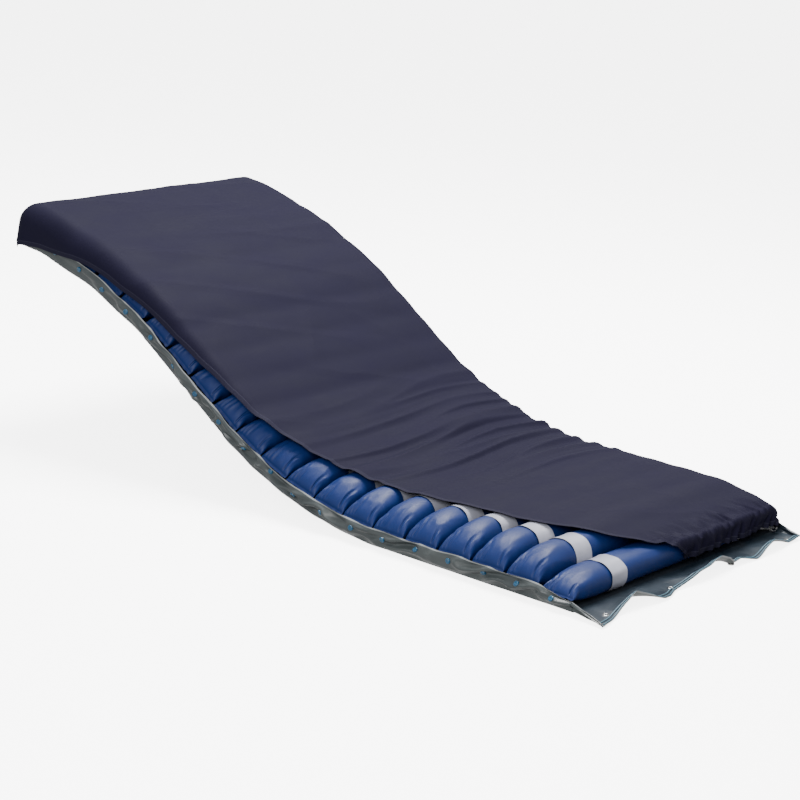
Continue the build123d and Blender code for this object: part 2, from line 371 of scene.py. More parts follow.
@dataclass(frozen=True)
class Cloth:
    """A woven or coated cloth, with its yarns, its creases and, at a hem, its stitches and a painted
    highlight along the hem.
    """

    name: str
    base: tuple[float, float, float, float]
    light: tuple[float, float, float, float]
    roughness: float
    specular: float = 0.5
    yarns: float = 390.0
    yarn_depth: float = 0.00005
    crease_size: float = 9.0
    crease_depth: float = 0.0012
    stretch: tuple[float, float, float] = (1.0, 1.0, 1.0)
    hem: float = 0.0
    # The colour of the band along a hem: lighter than the cloth, a painted highlight on the hem's fold.
    hem_and_highlight_tone: tuple[float, float, float, float] = (0.5, 0.5, 0.5, 1.0)
    stitch_inset: float = 0.0
    stitch_tone: tuple[float, float, float, float] = (0.6, 0.6, 0.6, 1.0)

    def build(self, effects: Effects) -> bpy.types.Material:
        """Make the material.

        Args:
            effects: the shared shader groups.

        Returns:
            The finished material.
        """
        material = bpy.data.materials.new(self.name)
        material.use_nodes = True
        nodes = Nodes(material.node_tree)
        shader = material.node_tree.nodes["Principled BSDF"]
        place = nodes.add("ShaderNodeUVMap", uv_map="cloth")
        stretch = nodes.add("ShaderNodeMapping")
        stretch.inputs["Scale"].default_value = self.stretch
        nodes.link(place.outputs[0], stretch.inputs["Vector"])
        weave = nodes.add("ShaderNodeGroup", node_tree=effects.weave)
        weave.inputs["Yarns"].default_value = self.yarns
        nodes.link(place.outputs[0], weave.inputs["Vector"])
        rumple = nodes.add("ShaderNodeGroup", node_tree=effects.rumple)
        rumple.inputs["Size"].default_value = self.crease_size
        nodes.link(stretch.outputs[0], rumple.inputs["Vector"])
        tone = nodes.between(rumple.outputs["Tone"], 0.3, 0.7, 0.0, 1.0)
        shade = nodes.mix(tone, self.base, self.light)
        height = nodes.math("MULTIPLY", rumple.outputs["Height"], self.crease_depth)
        height = nodes.math("ADD", height, nodes.math("MULTIPLY", weave.outputs["Height"], self.yarn_depth))
        if self.hem:
            edge = nodes.add("ShaderNodeAttribute", attribute_name="edge_gap")
            hem = nodes.between(edge.outputs["Fac"], self.hem * 0.9, self.hem, 1.0, 0.0)
            # Painted highlight: the band along the hem is mixed towards the lighter hem colour; the small
            # raise below is real relief.
            shade = nodes.mix(hem, shade, self.hem_and_highlight_tone)
            height = nodes.math("ADD", height, nodes.math("MULTIPLY", hem, 0.0006))
            if self.stitch_inset:
                parts = nodes.add("ShaderNodeSeparateXYZ")
                nodes.link(place.outputs[0], parts.inputs[0])
                row = nodes.add("ShaderNodeGroup", node_tree=effects.stitches)
                row.inputs["Inset"].default_value = self.stitch_inset
                nodes.link(edge.outputs["Fac"], row.inputs["Edge"])
                nodes.link(parts.outputs[1], row.inputs["Along"])
                shade = nodes.mix(row.outputs["Mask"], shade, self.stitch_tone)
                height = nodes.math("ADD", height, nodes.math("MULTIPLY", row.outputs["Mask"], 0.0004))
        relief = nodes.add("ShaderNodeBump")
        relief.inputs["Strength"].default_value = 0.7
        relief.inputs["Distance"].default_value = 1.0
        nodes.link(height, relief.inputs["Height"])
        nodes.link(relief.outputs[0], shader.inputs["Normal"])
        nodes.link(shade, shader.inputs["Base Color"])
        rough = nodes.between(tone, 0.0, 1.0, self.roughness - 0.04, self.roughness + 0.05)
        nodes.link(rough, shader.inputs["Roughness"])
        shader.inputs["Specular IOR Level"].default_value = self.specular
        return material


@dataclass(frozen=True)
class Moulded:
    """A hard plastic or metal with faint mottling and a faint bumpy grain."""

    name: str
    base: tuple[float, float, float, float]
    light: tuple[float, float, float, float]
    roughness: float
    metallic: float = 0.0
    grain: float = 60.0
    depth: float = 0.00006

    def build(self, effects: Effects) -> bpy.types.Material:
        """Make the material from the shared groups in effects."""
        material = bpy.data.materials.new(self.name)
        material.use_nodes = True
        nodes = Nodes(material.node_tree)
        shader = material.node_tree.nodes["Principled BSDF"]
        place = nodes.add("ShaderNodeTexCoord")
        rumple = nodes.add("ShaderNodeGroup", node_tree=effects.rumple)
        rumple.inputs["Size"].default_value = self.grain
        nodes.link(place.outputs["Object"], rumple.inputs["Vector"])
        tone = nodes.between(rumple.outputs["Tone"], 0.3, 0.7, 0.0, 1.0)
        nodes.link(nodes.mix(tone, self.base, self.light), shader.inputs["Base Color"])
        rough = nodes.between(tone, 0.0, 1.0, self.roughness * 0.8, self.roughness * 1.25)
        nodes.link(rough, shader.inputs["Roughness"])
        shader.inputs["Metallic"].default_value = self.metallic
        relief = nodes.add("ShaderNodeBump")
        relief.inputs["Strength"].default_value = 0.5
        height = nodes.math("MULTIPLY", rumple.outputs["Height"], self.depth)
        relief.inputs["Distance"].default_value = 1.0
        nodes.link(height, relief.inputs["Height"])
        nodes.link(relief.outputs[0], shader.inputs["Normal"])
        return material


class Finishes:
    """Every finish on the mattress, built once."""

    def __init__(self) -> None:
        """Build the materials."""
        effects = Effects()
        self.cell = Cloth(
            "cell_blue", colour(0.0023, 0.0112, 0.066), colour(0.0032, 0.0146, 0.080), 0.48,
            specular=0.17, crease_size=20.0, crease_depth=0.0009,
        ).build(effects)
        self.loop = Cloth(
            "loop_white", colour(0.20, 0.205, 0.25), colour(0.27, 0.275, 0.32), 0.34,
            specular=0.4, yarns=600.0, crease_depth=0.0006,
        ).build(effects)
        self.outer = Cloth(
            "sheet_silver", colour(0.022, 0.028, 0.030), colour(0.040, 0.047, 0.048), 0.36,
            specular=0.35, crease_size=9.0, crease_depth=0.0042,
            # The hem band along the flaps' top edge is painted much lighter than the cloth, a painted
            # highlight.
            hem=0.0028, hem_and_highlight_tone=colour(0.17, 0.18, 0.185),
        ).build(effects)
        self.inner = Cloth(
            "sheet_slate", colour(0.010, 0.013, 0.018), colour(0.016, 0.020, 0.026), 0.42,
            specular=0.25, crease_size=12.0, crease_depth=0.002,
        ).build(effects)
        self.flap_inside = Cloth(
            "flap_slate", colour(0.0050, 0.0085, 0.0135), colour(0.014, 0.022, 0.030), 0.32,
            specular=0.30, crease_size=12.0, crease_depth=0.0030,
            # The hem band along the flap's free edge is painted lighter, a painted reflection of the bright
            # surroundings.
            hem=0.0035, hem_and_highlight_tone=colour(0.08, 0.095, 0.10),
        ).build(effects)
        self.cover = Cloth(
            "cover_navy", colour(0.0050, 0.0044, 0.0128), colour(0.0062, 0.0054, 0.0150), 0.70,
            specular=0.05, yarns=330.0, yarn_depth=0.00008, crease_size=5.0, crease_depth=0.002,
            # The hem band along the cover's edges is painted lighter, a painted highlight on the hem; the
            # stitches are the thread's own colour.
            stretch=(1.0, 2.2, 1.0), hem=0.013, hem_and_highlight_tone=colour(0.0086, 0.0080, 0.0176),
            stitch_inset=0.0115, stitch_tone=colour(0.022, 0.022, 0.036),
        ).build(effects)
        self.teal = Moulded(
            "stud_teal", colour(0.0, 0.038, 0.085), colour(0.001, 0.052, 0.11), 0.3
        ).build(effects)
        self.binding = Moulded(
            "binding_teal", colour(0.015, 0.052, 0.078), colour(0.026, 0.074, 0.104), 0.5, grain=400.0
        ).build(effects)
        self.metal = Moulded(
            "eyelet_metal", colour(0.30, 0.30, 0.29), colour(0.38, 0.38, 0.37), 0.24, metallic=1.0
        ).build(effects)
        self.vinyl = Moulded(
            "line_clear_grey", colour(0.22, 0.235, 0.245), colour(0.28, 0.295, 0.30), 0.3
        ).build(effects)
        self.plastic = Moulded(
            "inlet_white", colour(0.26, 0.265, 0.27), colour(0.31, 0.315, 0.32), 0.35
        ).build(effects)


# ----------------------------------------------------------------------------------------- mesh making


def shown(bm: bmesh.types.BMesh, name: str, materials: Sequence[bpy.types.Material]) -> bpy.types.Object:
    """Turn a bmesh into a smooth, linked object with these materials, and free it."""
    mesh = bpy.data.meshes.new(name)
    bm.to_mesh(mesh)
    bm.free()
    for material in materials:
        mesh.materials.append(material)
    mesh.polygons.foreach_set("use_smooth", [True] * len(mesh.polygons))
    piece = bpy.data.objects.new(name, mesh)
    bpy.context.scene.collection.objects.link(piece)
    return piece


def cloth_grid(
    columns: int, rows: int, place: Callable[[float, float], tuple[Vector, float, float, float]]
) -> bmesh.types.BMesh:
    """A grid of cloth laid out by a function.

    Args:
        columns: faces across.
        rows: faces along.
        place: for a share across and a share along, each from 0 to 1, gives the point, the distances
            across and along the flat cloth, and the distance to its nearest hemmed edge.

    Returns:
        The mesh, with its flat distances as the UV map "cloth" and the last as "edge_gap".
    """
    bm = bmesh.new()
    uv = bm.loops.layers.uv.new("cloth")
    edge_gap = bm.verts.layers.float.new("edge_gap")
    bmesh.ops.create_grid(bm, x_segments=columns, y_segments=rows, size=0.5)
    flat: dict[int, tuple[float, float]] = {}
    bm.verts.index_update()
    for vert in bm.verts:
        point, across, along, gap = place(vert.co.x + 0.5, vert.co.y + 0.5)
        vert.co = point
        vert[edge_gap] = gap
        flat[vert.index] = (across, along)
    for face in bm.faces:
        for loop in face.loops:
            loop[uv].uv = flat[loop.vert.index]
    return bm


def thick_cloth(
    bm: bmesh.types.BMesh,
    name: str,
    materials: Sequence[bpy.types.Material],
    thickness: float,
    keep: tuple[float, float] | None = None,
    inner: int = 0,
) -> bpy.types.Object:
    """Turn an open grid of cloth into a closed sheet of this thickness.

    Args:
        bm: the grid, whose faces look outwards; it is freed.
        name: the object's name.
        materials: the outer face's material first.
        thickness: in metres, added behind the grid.
        keep: the first and last station to keep; the rest only shapes the normals along the cuts, so
            that neighbouring pieces of one cloth meet without a visible seam.
        inner: the place in materials of the back's material.

    Returns:
        The object, with the grid's own normals.
    """
    bm.normal_update()
    uv = bm.loops.layers.uv["cloth"]
    normals = {vert: vert.normal.copy() for vert in bm.verts}
    if keep:
        away = []
        for face in bm.faces:
            station = sum(loop[uv].uv.y for loop in face.loops) / len(face.loops)
            if not keep[0] < station < keep[1]:
                away.append(face)
        bmesh.ops.delete(bm, geom=away, context="FACES")
    front = list(bm.verts)
    rims = [edge for edge in bm.edges if edge.is_boundary]
    made = bmesh.ops.duplicate(bm, geom=bm.verts[:] + bm.edges[:] + bm.faces[:])
    twins = made["vert_map"]
    backs = [item for item in made["geom"] if isinstance(item, bmesh.types.BMFace)]
    bmesh.ops.reverse_faces(bm, faces=backs)
    for face in backs:
        face.material_index = inner
    for vert in front:
        twin = twins[vert]
        twin.co = vert.co - normals[vert] * thickness
        normals[twin] = -normals[vert]
    for edge in rims:
        loop = edge.link_loops[0]
        start, end = loop, loop.link_loop_next
        face = bm.faces.new((end.vert, start.vert, twins[start.vert], twins[end.vert]))
        for corner, source in zip(face.loops, (end, start, start, end)):
            corner[uv].uv = source[uv].uv
    kept = [normals[vert] for vert in bm.verts]
    piece = shown(bm, name, materials)
    piece.data.normals_split_custom_set_from_vertices(kept)
    return piece


def bending_cloth(
    spine: Spine,
    name: str,
    ends: tuple[float, float],
    step: float,
    columns: int,
    place: Callable[[float, float], tuple[Vector, float, float, float]],
    materials: Sequence[bpy.types.Material],
    thickness: float,
    inner: int = 0,
) -> Iterable[tuple[int, float, float, bpy.types.Object]]:
    """Make one cloth that runs along the mattress, in one piece for each hinge.

    Args:
        spine: the line that the cloth follows.
        name: the start of the pieces' names.
        ends: the cloth's first and last station.
        step: about how far apart its rows are.
        columns: faces across.
        place: for a share across and a station, what cloth_grid's own function gives.
        materials: the outer face's material first.
        thickness: in metres.
        inner: the place in materials of the back's material.

    Yields:
        The number of the stretch before the hinge, the piece's first and last station, and the piece.
    """
    spans = spine.spans(*ends)
    stations, firsts = [spans[0][1]], [0]
    for _, low, high in spans:
        rows = max(3, round((high - low) / step))
        stations.extend(low + (high - low) * (n + 1) / rows for n in range(rows))
        firsts.append(len(stations) - 1)
    for (number, low, high), first, last in zip(spans, firsts, firsts[1:]):
        rows = stations[max(first - 1, 0):last + 2]
        count = len(rows) - 1
        bm = cloth_grid(columns, count, lambda u, v: place(u, rows[round(v * count)]))
        piece = thick_cloth(bm, f"{name}_{number + 1:02d}", materials, thickness, (low, high), inner)
        yield number, low, high, piece


def tube(
    turns: int, steps: int, place: Callable[[float, float], Vector]
) -> bmesh.types.BMesh:
    """A grid rolled up into a closed tube.

    Args:
        turns: faces round the tube.
        steps: faces along it.
        place: the point for a share of the way round and a share along, each from 0 to 1.

    Returns:
        The mesh, its seam merged and its ends filled.
    """
    bm = bmesh.new()
    bmesh.ops.create_grid(bm, x_segments=turns, y_segments=steps, size=0.5)
    for vert in bm.verts:
        vert.co = place(vert.co.x + 0.5, vert.co.y + 0.5)
    bmesh.ops.remove_doubles(bm, verts=bm.verts, dist=MERGE)
    bmesh.ops.holes_fill(bm, edges=[edge for edge in bm.edges if edge.is_boundary])
    bmesh.ops.recalc_face_normals(bm, faces=bm.faces)
    return bm


def lathe(bm: bmesh.types.BMesh, seat: Matrix, profile: Sequence[tuple[float, float]], turns: int) -> None:
    """Add a turned piece to a mesh.

    Args:
        bm: the mesh to add to.
        seat: the axes of its place, with z along its axis.
        profile: its outline as radius and height, in order.
        turns: faces round it.
    """
    line = [bm.verts.new((radius, 0.0, height)) for radius, height in profile]
    geom = line + [bm.edges.new(pair) for pair in zip(line, line[1:])]
    before = set(bm.verts) - set(line)
    bmesh.ops.spin(
        bm, geom=geom, cent=(0.0, 0.0, 0.0), axis=(0.0, 0.0, 1.0), angle=math.tau, steps=turns,
        use_merge=True,
    )
    new = [vert for vert in bm.verts if vert not in before]
    bmesh.ops.remove_doubles(bm, verts=new, dist=MERGE)
    new = [vert for vert in bm.verts if vert not in before]
    bmesh.ops.transform(bm, matrix=seat, verts=new)
    faces = list({face for vert in new for face in vert.link_faces})
    bmesh.ops.recalc_face_normals(bm, faces=faces)


# ------------------------------------------------------------------------------------------- the pieces


@dataclass
class AirCells:
    """The row of air cells, tubes whose ends are gathered down to a welded seam."""

    spine: Spine
    finish: bpy.types.Material
    count: int = 20
    near_end: float = -0.440
    far_end: float = 0.4265
    width: float = 0.0955
    waist_width: float = 0.0885
    height: float = 0.1046
    foot_heights: tuple[float, float] = (0.071, 0.100)
    lift: float = 0.0008
    end_taper: float = 0.118
    seam_width: float = 0.091
    seam_share: float = 0.36
    seam_depth: float = 0.006
    band_places: tuple[float, float] = (-0.288, 0.288)
    band_drift: tuple[float, ...] = (0.028, 0.024, 0.016, 0.012, 0.008, 0.004)
    band_width: float = 0.062
    around: int = 92
    rows: tuple[int, int, int] = (52, 30, 34)

    def station(self, number: int) -> float:
        """The station of a cell's middle, counted from 1 at the foot end."""
        return (number - 0.5) * self.spine.pitch

    def band_middle(self, number: int, band: float) -> float:
        """Where a cell's band lies: on the first cells it has slipped a little way inwards."""
        drift = self.band_drift[number - 1] if number <= len(self.band_drift) else 0.0
        return band + drift if band < 0 else band

    def tightness(self, number: int, across: float) -> float:
        """How far a band draws a cell in at a place across, from 0 to 1."""
        places = (self.band_middle(number, band) for band in self.band_places)
        return max(bump(across, place, self.band_width * 0.85) for place in places)

    def section(self, number: int, across: float, turn: float) -> tuple[float, float, Vector]:
        """One point of a cell's surface.

        Args:
            number: the cell, counted from 1 at the foot end.
            across: how far across the mattress.
            turn: the way round the cell in radians, 0 at its top, a quarter turn at its head side.

        Returns:
            The station offset from the cell's middle, the height, and the outward direction in the
            cell's own upright section.
        """
        gap = min(across - self.near_end, self.far_end - across)
        end = -1.0 if across < 0 else 1.0
        full = self.foot_heights[number - 1] if number <= len(self.foot_heights) else self.height
        wide = self.waist_width if 4 <= number <= 12 else self.width
        key = number * 7.31 + end * 2.7
        taper = self.end_taper * (1.0 + 0.10 * noise.noise(Vector((key, 0.0, 0.0))))
        shape = min(max(gap / taper, 0.0), 1.0)
        swell = (1.0 - (1.0 - shape) ** 2.0) ** 0.60
        spread = ramp(shape, 0.02, 0.9)
        ears = 0.055 * bump(shape, 0.22, 0.2)
        half_wide = (self.seam_width * (1.0 - spread) + wide * spread) / 2 * (1.0 - ears)
        half_high = full / 2 * max(swell, 0.018)
        middle = self.lift + full * (self.seam_share + (0.5 - self.seam_share) * swell ** 0.8)
        side, top = math.sin(turn), math.cos(turn)
        power = 2.0 / (2.3 + 0.9 * (1.0 - shape) ** 2)
        x = math.copysign(abs(side) ** power, side) * half_wide
        z = math.copysign(abs(top) ** power, top) * half_high
        out = Vector((side / half_wide, top / half_high)).normalized()
        depth = self.pleats(number, x / half_wide, top, shape, key)
        depth += 0.0007 * ridged(x * 9 + turn, across * 7.5, key + 3.0) * ramp(gap, 0.01, 0.05)
        depth += 0.0012 * noise.noise(Vector((across * 9.0, turn * 1.3, key)))
        depth -= 0.0016 * self.tightness(number, across)
        under = ramp(z, -half_high, -half_high * 0.3)
        return x + out.x * depth, middle + z + out.y * depth * under, out

    def pleats(self, number: int, x: float, top: float, shape: float, key: float) -> float:
        """How far the gathered end stands out from its plain shape.

        Args:
            number: the cell; not used.
            x: the place across the seam, from -1 to 1.
            top: 1 on the cell's upper side, -1 on its underside; not used.
            shape: 0 at the seam, 1 where the end's taper is over.
            key: a number that differs from one end to the next.

        Returns:
            The height in metres.
        """
        depth = 0.0
        places = (-0.62, -0.06, 0.34, 0.58, 0.80)
        for n, place in enumerate(places):
            jog = 0.10 * noise.noise(Vector((key, n * 3.1, 0.5)))
            run = 0.30 + 0.22 * noise.noise(Vector((key, n * 1.7, 7.5)))
            bend = jog + 0.16 * shape * noise.noise(Vector((shape * 5, key, n * 2.0)))
            away = (x - place - bend) / (0.040 + 0.07 * shape)
            groove = math.exp(-away * away)
            ridge = math.exp(-(away - 1.9) ** 2) + math.exp(-(away + 1.9) ** 2)
            fade = (1.0 - ramp(shape, run * 0.45, run * 1.5)) * ramp(shape, 0.0, 0.06)
            depth += (0.0012 * ridge - 0.0066 * groove) * fade
        fine = noise.noise(Vector((x * 7.0, shape * 2.0, key)))
        depth += 0.0014 * (1.0 - shape) ** 2 * fine * ramp(shape, 0.0, 0.08)
        depth += 0.0010 * bump(shape, 0.34, 0.34) * ridged(x * 1.8, shape * 2.4, key + 9.0)
        return depth

    def build_one(self, number: int) -> bpy.types.Object:
        """Make one cell and fasten it to its body."""
        stretch = next(s for s in reversed(self.spine.stretches) if self.station(number) > s.start)
        length = self.far_end - self.near_end

        near, middle, far = self.rows
        taper = self.end_taper * 1.15
        places = [self.near_end + taper * (n / near) ** 1.3 for n in range(near)]
        inner = length - 2 * taper
        places += [self.near_end + taper + inner * n / middle for n in range(middle)]
        places += [self.far_end - taper * (1 - n / far) ** 1.3 for n in range(far + 1)]

        def place(u: float, v: float) -> tuple[Vector, float, float, float]:
            across = places[round(v * (len(places) - 1))]
            turn = math.tau * (u + 0.5)
            x, height, _ = self.section(number, across, turn)
            point = stretch.place(self.station(number) + x, across, height)
            return point, u * 0.31, across - self.near_end, 1.0

        bm = cloth_grid(self.around, len(places) - 1, place)
        bmesh.ops.remove_doubles(bm, verts=bm.verts, dist=0.00002)
        rims = [edge for edge in bm.edges if edge.is_boundary]
        lip = bmesh.ops.extrude_edge_only(bm, edges=rims)["geom"]
        for vert in (item for item in lip if isinstance(item, bmesh.types.BMVert)):
            end = -1.0 if vert.co.y < 0 else 1.0
            vert.co.y += end * self.seam_depth
            vert.co += stretch.upward * 0.0012 * math.sin(vert.co.dot(stretch.headward) * 300 + number)
        bmesh.ops.holes_fill(bm, edges=[edge for edge in bm.edges if edge.is_boundary])
        bmesh.ops.recalc_face_normals(bm, faces=bm.faces)
        piece = shown(bm, f"air_cell_{number:02d}_skin", [self.finish])
        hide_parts(f"air_cell_{number:02d}")
        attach(piece, stretch.name)
        return piece

    def build(self) -> None:
        """Make every cell."""
        for number in range(1, self.count + 1):
            self.build_one(number)
        LOG.info("air cells: %d", self.count)


@dataclass
class CellBands:
    """The white bands sewn to the base sheet, which pass over each cell near its ends."""

    spine: Spine
    cells: AirCells
    finish: bpy.types.Material
    thickness: float = 0.0009
    length: float = 0.262
    wrap: float = 0.80
    clearance: float = 0.0015
    lowest: float = 0.006
    columns: int = 8
    steps: int = 44

    def build(self) -> None:
        """Make one piece for each stretch, holding the bands of all its cells."""
        for stretch in self.spine.stretches:
            bm = bmesh.new()
            uv = bm.loops.layers.uv.new("cloth")
            bm.verts.layers.float.new("edge_gap")
            last = stretch.start + stretch.length
            numbers = [
                n for n in range(1, self.cells.count + 1)
                if stretch.start < self.cells.station(n) < last
            ]
            for number in numbers:
                for band in self.cells.band_places:
                    self.add_band(bm, uv, stretch, number, band)
            piece = thick_cloth(bm, f"bands_{stretch.name}", [self.finish], self.thickness)
            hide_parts(f"cell_loops_{stretch.name}")
            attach(piece, stretch.name)
        LOG.info("bands: one piece for each of %d stretches", len(self.spine.stretches))

    def add_band(
        self, bm: bmesh.types.BMesh, uv: bmesh.types.BMLayerItem, stretch: Stretch, number: int, band: float
    ) -> None:
        """Add one band to a mesh, following its cell from the base sheet over the top and down.

        Args:
            bm: the mesh of the stretch's bands.
            uv: its UV map "cloth".
            stretch: the stretch that the cell lies on.
            number: the cell.
            band: which of the cell's band places this band has.
        """
        strip = bmesh.ops.create_grid(
            bm, x_segments=self.columns, y_segments=self.steps, size=0.5
        )["verts"]
        flat = {}
        station = self.cells.station(number)
        middle = self.cells.band_middle(number, band)
        for vert in strip:
            u, v = vert.co.x, vert.co.y
            across = middle + u * self.cells.band_width
            turn = v * math.tau * self.wrap
            x, height, out = self.cells.section(number, across, turn)
            lift = self.clearance + 0.0004 * noise.noise(Vector((across * 40, turn * 3, number * 1.7)))
            edge = abs(u) * 2
            lift += 0.0005 * edge ** 6
            low = ramp(abs(turn), 2.0, math.pi * self.wrap)
            x += math.copysign(0.002 * low, x)
            height = max(height, self.lowest)
            vert.co = stretch.place(station + x + out.x * lift, across, height + out.y * lift)
            flat[vert] = (u * self.cells.band_width, v * self.length)
        for face in {f for vert in strip for f in vert.link_faces}:
            for loop in face.loops:
                loop[uv].uv = flat[loop.vert]


@dataclass
class BaseSheet:
    """The sheet under the cells with its upturned side flaps, in one piece for each hinge."""

    spine: Spine
    finishes: Finishes
    corner: float = 0.4435
    flap: float = 0.043
    lean: float = 0.010
    thickness: float = 0.0016
    crumple: float = 0.0145
    widest: float = 0.470
    end_tuck: float = 0.0065
    end_tuck_run: float = 0.045
    stud_share: float = 0.60
    stud_turns: int = 24
    stud_profile: tuple[tuple[float, float], ...] = (
        (0.0, 0.0028), (0.0020, 0.0026), (0.0034, 0.0036), (0.0056, 0.0038), (0.0070, 0.0027),
        (0.0074, 0.0006), (0.0068, -0.0012),
    )
    foot_slope: float = 0.10
    foot_reach: float = 0.083
    tucked_from: float = 1.55
    columns_flap: int = 22
    columns_floor: int = 16
    step: float = 0.0038

    @property
    def flat_width(self) -> float:
        """The sheet's cut width, flaps and floor together."""
        return 2 * (self.corner + self.flap)

    def flap_height(self, station: float) -> float:
        """How high the side flaps stand at a station: lower towards the foot end and past it."""
        wave = 0.0045 * noise.noise(Vector((station * 5.5, 0.3, 2.0)))
        wave += 0.0020 * noise.noise(Vector((station * 19.0, 0.3, 6.0)))
        height = self.flap * (0.68 + 0.32 * ramp(station, 0.0, self.foot_slope)) + wave
        if station < 0.0:
            height *= max(1.0 + station / self.foot_reach, 0.03)
        return height

    def point(self, station: float, arc: float) -> Vector:
        """A point of the sheet.

        Args:
            station: the place along the mattress.
            arc: the distance across from the centre line along the cloth, negative on the near side.

        Returns:
            The point on the sheet's outer face.
        """
        side = -1.0 if arc < 0 else 1.0
        over = abs(arc) - self.corner
        if over <= 0.0:
            hush = 0.0006 * noise.noise(Vector((station * 12, arc * 12, 4.0)))
            return self.spine.point(station, arc, -0.0002 + hush)
        share = min(over / self.flap, 1.0)
        height = share * self.flap_height(station)
        key = 11.0 if side < 0 else 47.0
        loose = 1.0
        if side < 0:
            loose = 1.0 - 0.85 * ramp(station, self.tucked_from, self.tucked_from + 0.25)
        loose *= 0.35 + 0.65 * ramp(station, -self.foot_reach, 0.05)
        out = self.lean * share ** 1.3 * loose
        swell = self.crumple * math.sin(math.pi * min(share * 1.02, 1.0)) ** 0.7 * loose
        skew = station + 0.02 * share
        warp = 0.35 * noise.noise(Vector((station * 9, share * 1.5, key + 7)))
        out += 0.75 * swell * (ridged(skew * 12 + warp, share * 1.3 + station * 3, key) + 0.2)
        out += 0.30 * swell * ridged(skew * 6 - warp, share * 1.9 - station * 4, key + 3)
        out += 0.50 * swell * noise.noise(Vector((station * 7, share * 0.9, key + 5)))
        tuck = 0.0055 * share * loose * noise.noise(Vector((station * 17, 0.4, key + 9)))
        last = self.spine.length
        square = self.end_tuck * share * ramp(station, last - self.end_tuck_run, last)
        across = side * (min(self.corner + 0.0015 + max(out + tuck, -0.002), self.widest) - square)
        return self.spine.point(station, across, height + 0.0008)

    def build(self) -> None:
        """Make the sheet's pieces."""
        arcs = []
        for n in range(self.columns_flap):
            arcs.append(-self.corner - self.flap * (1 - n / self.columns_flap))
        for n in range(self.columns_floor + 1):
            arcs.append(self.corner * (2 * n / self.columns_floor - 1))
        for n in range(1, self.columns_flap + 1):
            arcs.append(self.corner + self.flap * n / self.columns_flap)
        top = self.corner + self.flap

        def place(u: float, station: float) -> tuple[Vector, float, float, float]:
            arc = arcs[round(u * (len(arcs) - 1))]
            return self.point(station, arc), arc, station, top - abs(arc)

        for number, low, high, piece in bending_cloth(
            self.spine, "base_sheet_panel", (0.0, self.spine.length), self.step, len(arcs) - 1, place,
            [self.finishes.inner, self.finishes.outer], self.thickness, 1,
        ):
            names = [self.spine.stretches[i].name for i in (number, number + 1)]
            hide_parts(*[f"base_sheet_{name}" for name in names])
            self.spine.bend(piece, number)
            self.add_studs(number, low, high)
        self.add_head_flap()
        LOG.info("base sheet: %d panels", len(self.spine.stretches) - 1)

    def add_studs(self, number: int, low: float, high: float) -> None:
        """Add the snap studs of both side flaps along the panel that crosses one hinge, as a piece of their
        own.
        """
        bm = bmesh.new()
        pitch = self.spine.pitch
        places = [(n + 0.5) * pitch for n in range(round(self.spine.length / pitch))]
        last = number == len(self.spine.stretches) - 2
        places = [s for s in places if low - 1e-4 <= s < high - 1e-4 or last and low <= s <= high]
        for station in places:
            for side in (-1.0, 1.0):
                arc = side * (self.corner + self.flap * self.stud_share)
                centre = self.point(station, arc)
                along = self.point(station + 0.004, arc) - self.point(station - 0.004, arc)
                up = self.point(station, arc + side * 0.004) - self.point(station, arc - side * 0.004)
                out = along.cross(up).normalized() * side
                if out.y * side < 0:
                    out = -out
                turn = out.to_track_quat("Z", "Y").to_matrix().to_4x4()
                seat = Matrix.Translation(centre + out * self.thickness) @ turn
                lathe(bm, seat, self.stud_profile, self.stud_turns)
        if not places:
            bm.free()
            return
        piece = shown(bm, f"snap_studs_{number + 1:02d}", [self.finishes.teal])
        self.spine.bend(piece, number)

    def add_head_flap(self) -> None:
        """Make the upturned flap at the head end."""
        columns, rows = 120, 14
        head = self.spine.stretches[-1]

        def place(u: float, v: float) -> tuple[Vector, float, float, float]:
            across = self.corner * 0.985 * (2 * u - 1)
            height = v * self.flap
            out = 0.0005 + 0.002 * v + 0.002 * v * ridged(across * 13, v, 23.0)
            point = head.place(self.spine.length - 0.0016 + out, across, height)
            return point, across, height, self.flap - height

        bm = cloth_grid(columns, rows, place)
        bmesh.ops.reverse_faces(bm, faces=bm.faces)
        finishes = [self.finishes.outer, self.finishes.inner]
        piece = thick_cloth(bm, "base_sheet_head_flap", finishes, self.thickness, inner=1)
        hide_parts(f"base_sheet_{head.name}")
        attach(piece, head.name)


def eyelet_rows() -> list[float]:
    """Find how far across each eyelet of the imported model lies."""
    node = frame["nodes"]["foot_eyelets"]
    places = sorted({round((node.matrix_world @ v.co).y, 4) for v in node.data.vertices})
    rows: list[list[float]] = [[places[0]]]
    for place in places[1:]:
        if place - rows[-1][-1] > 0.05:
            rows.append([])
        rows[-1].append(place)
    return [(row[0] + row[-1]) / 2 for row in rows]


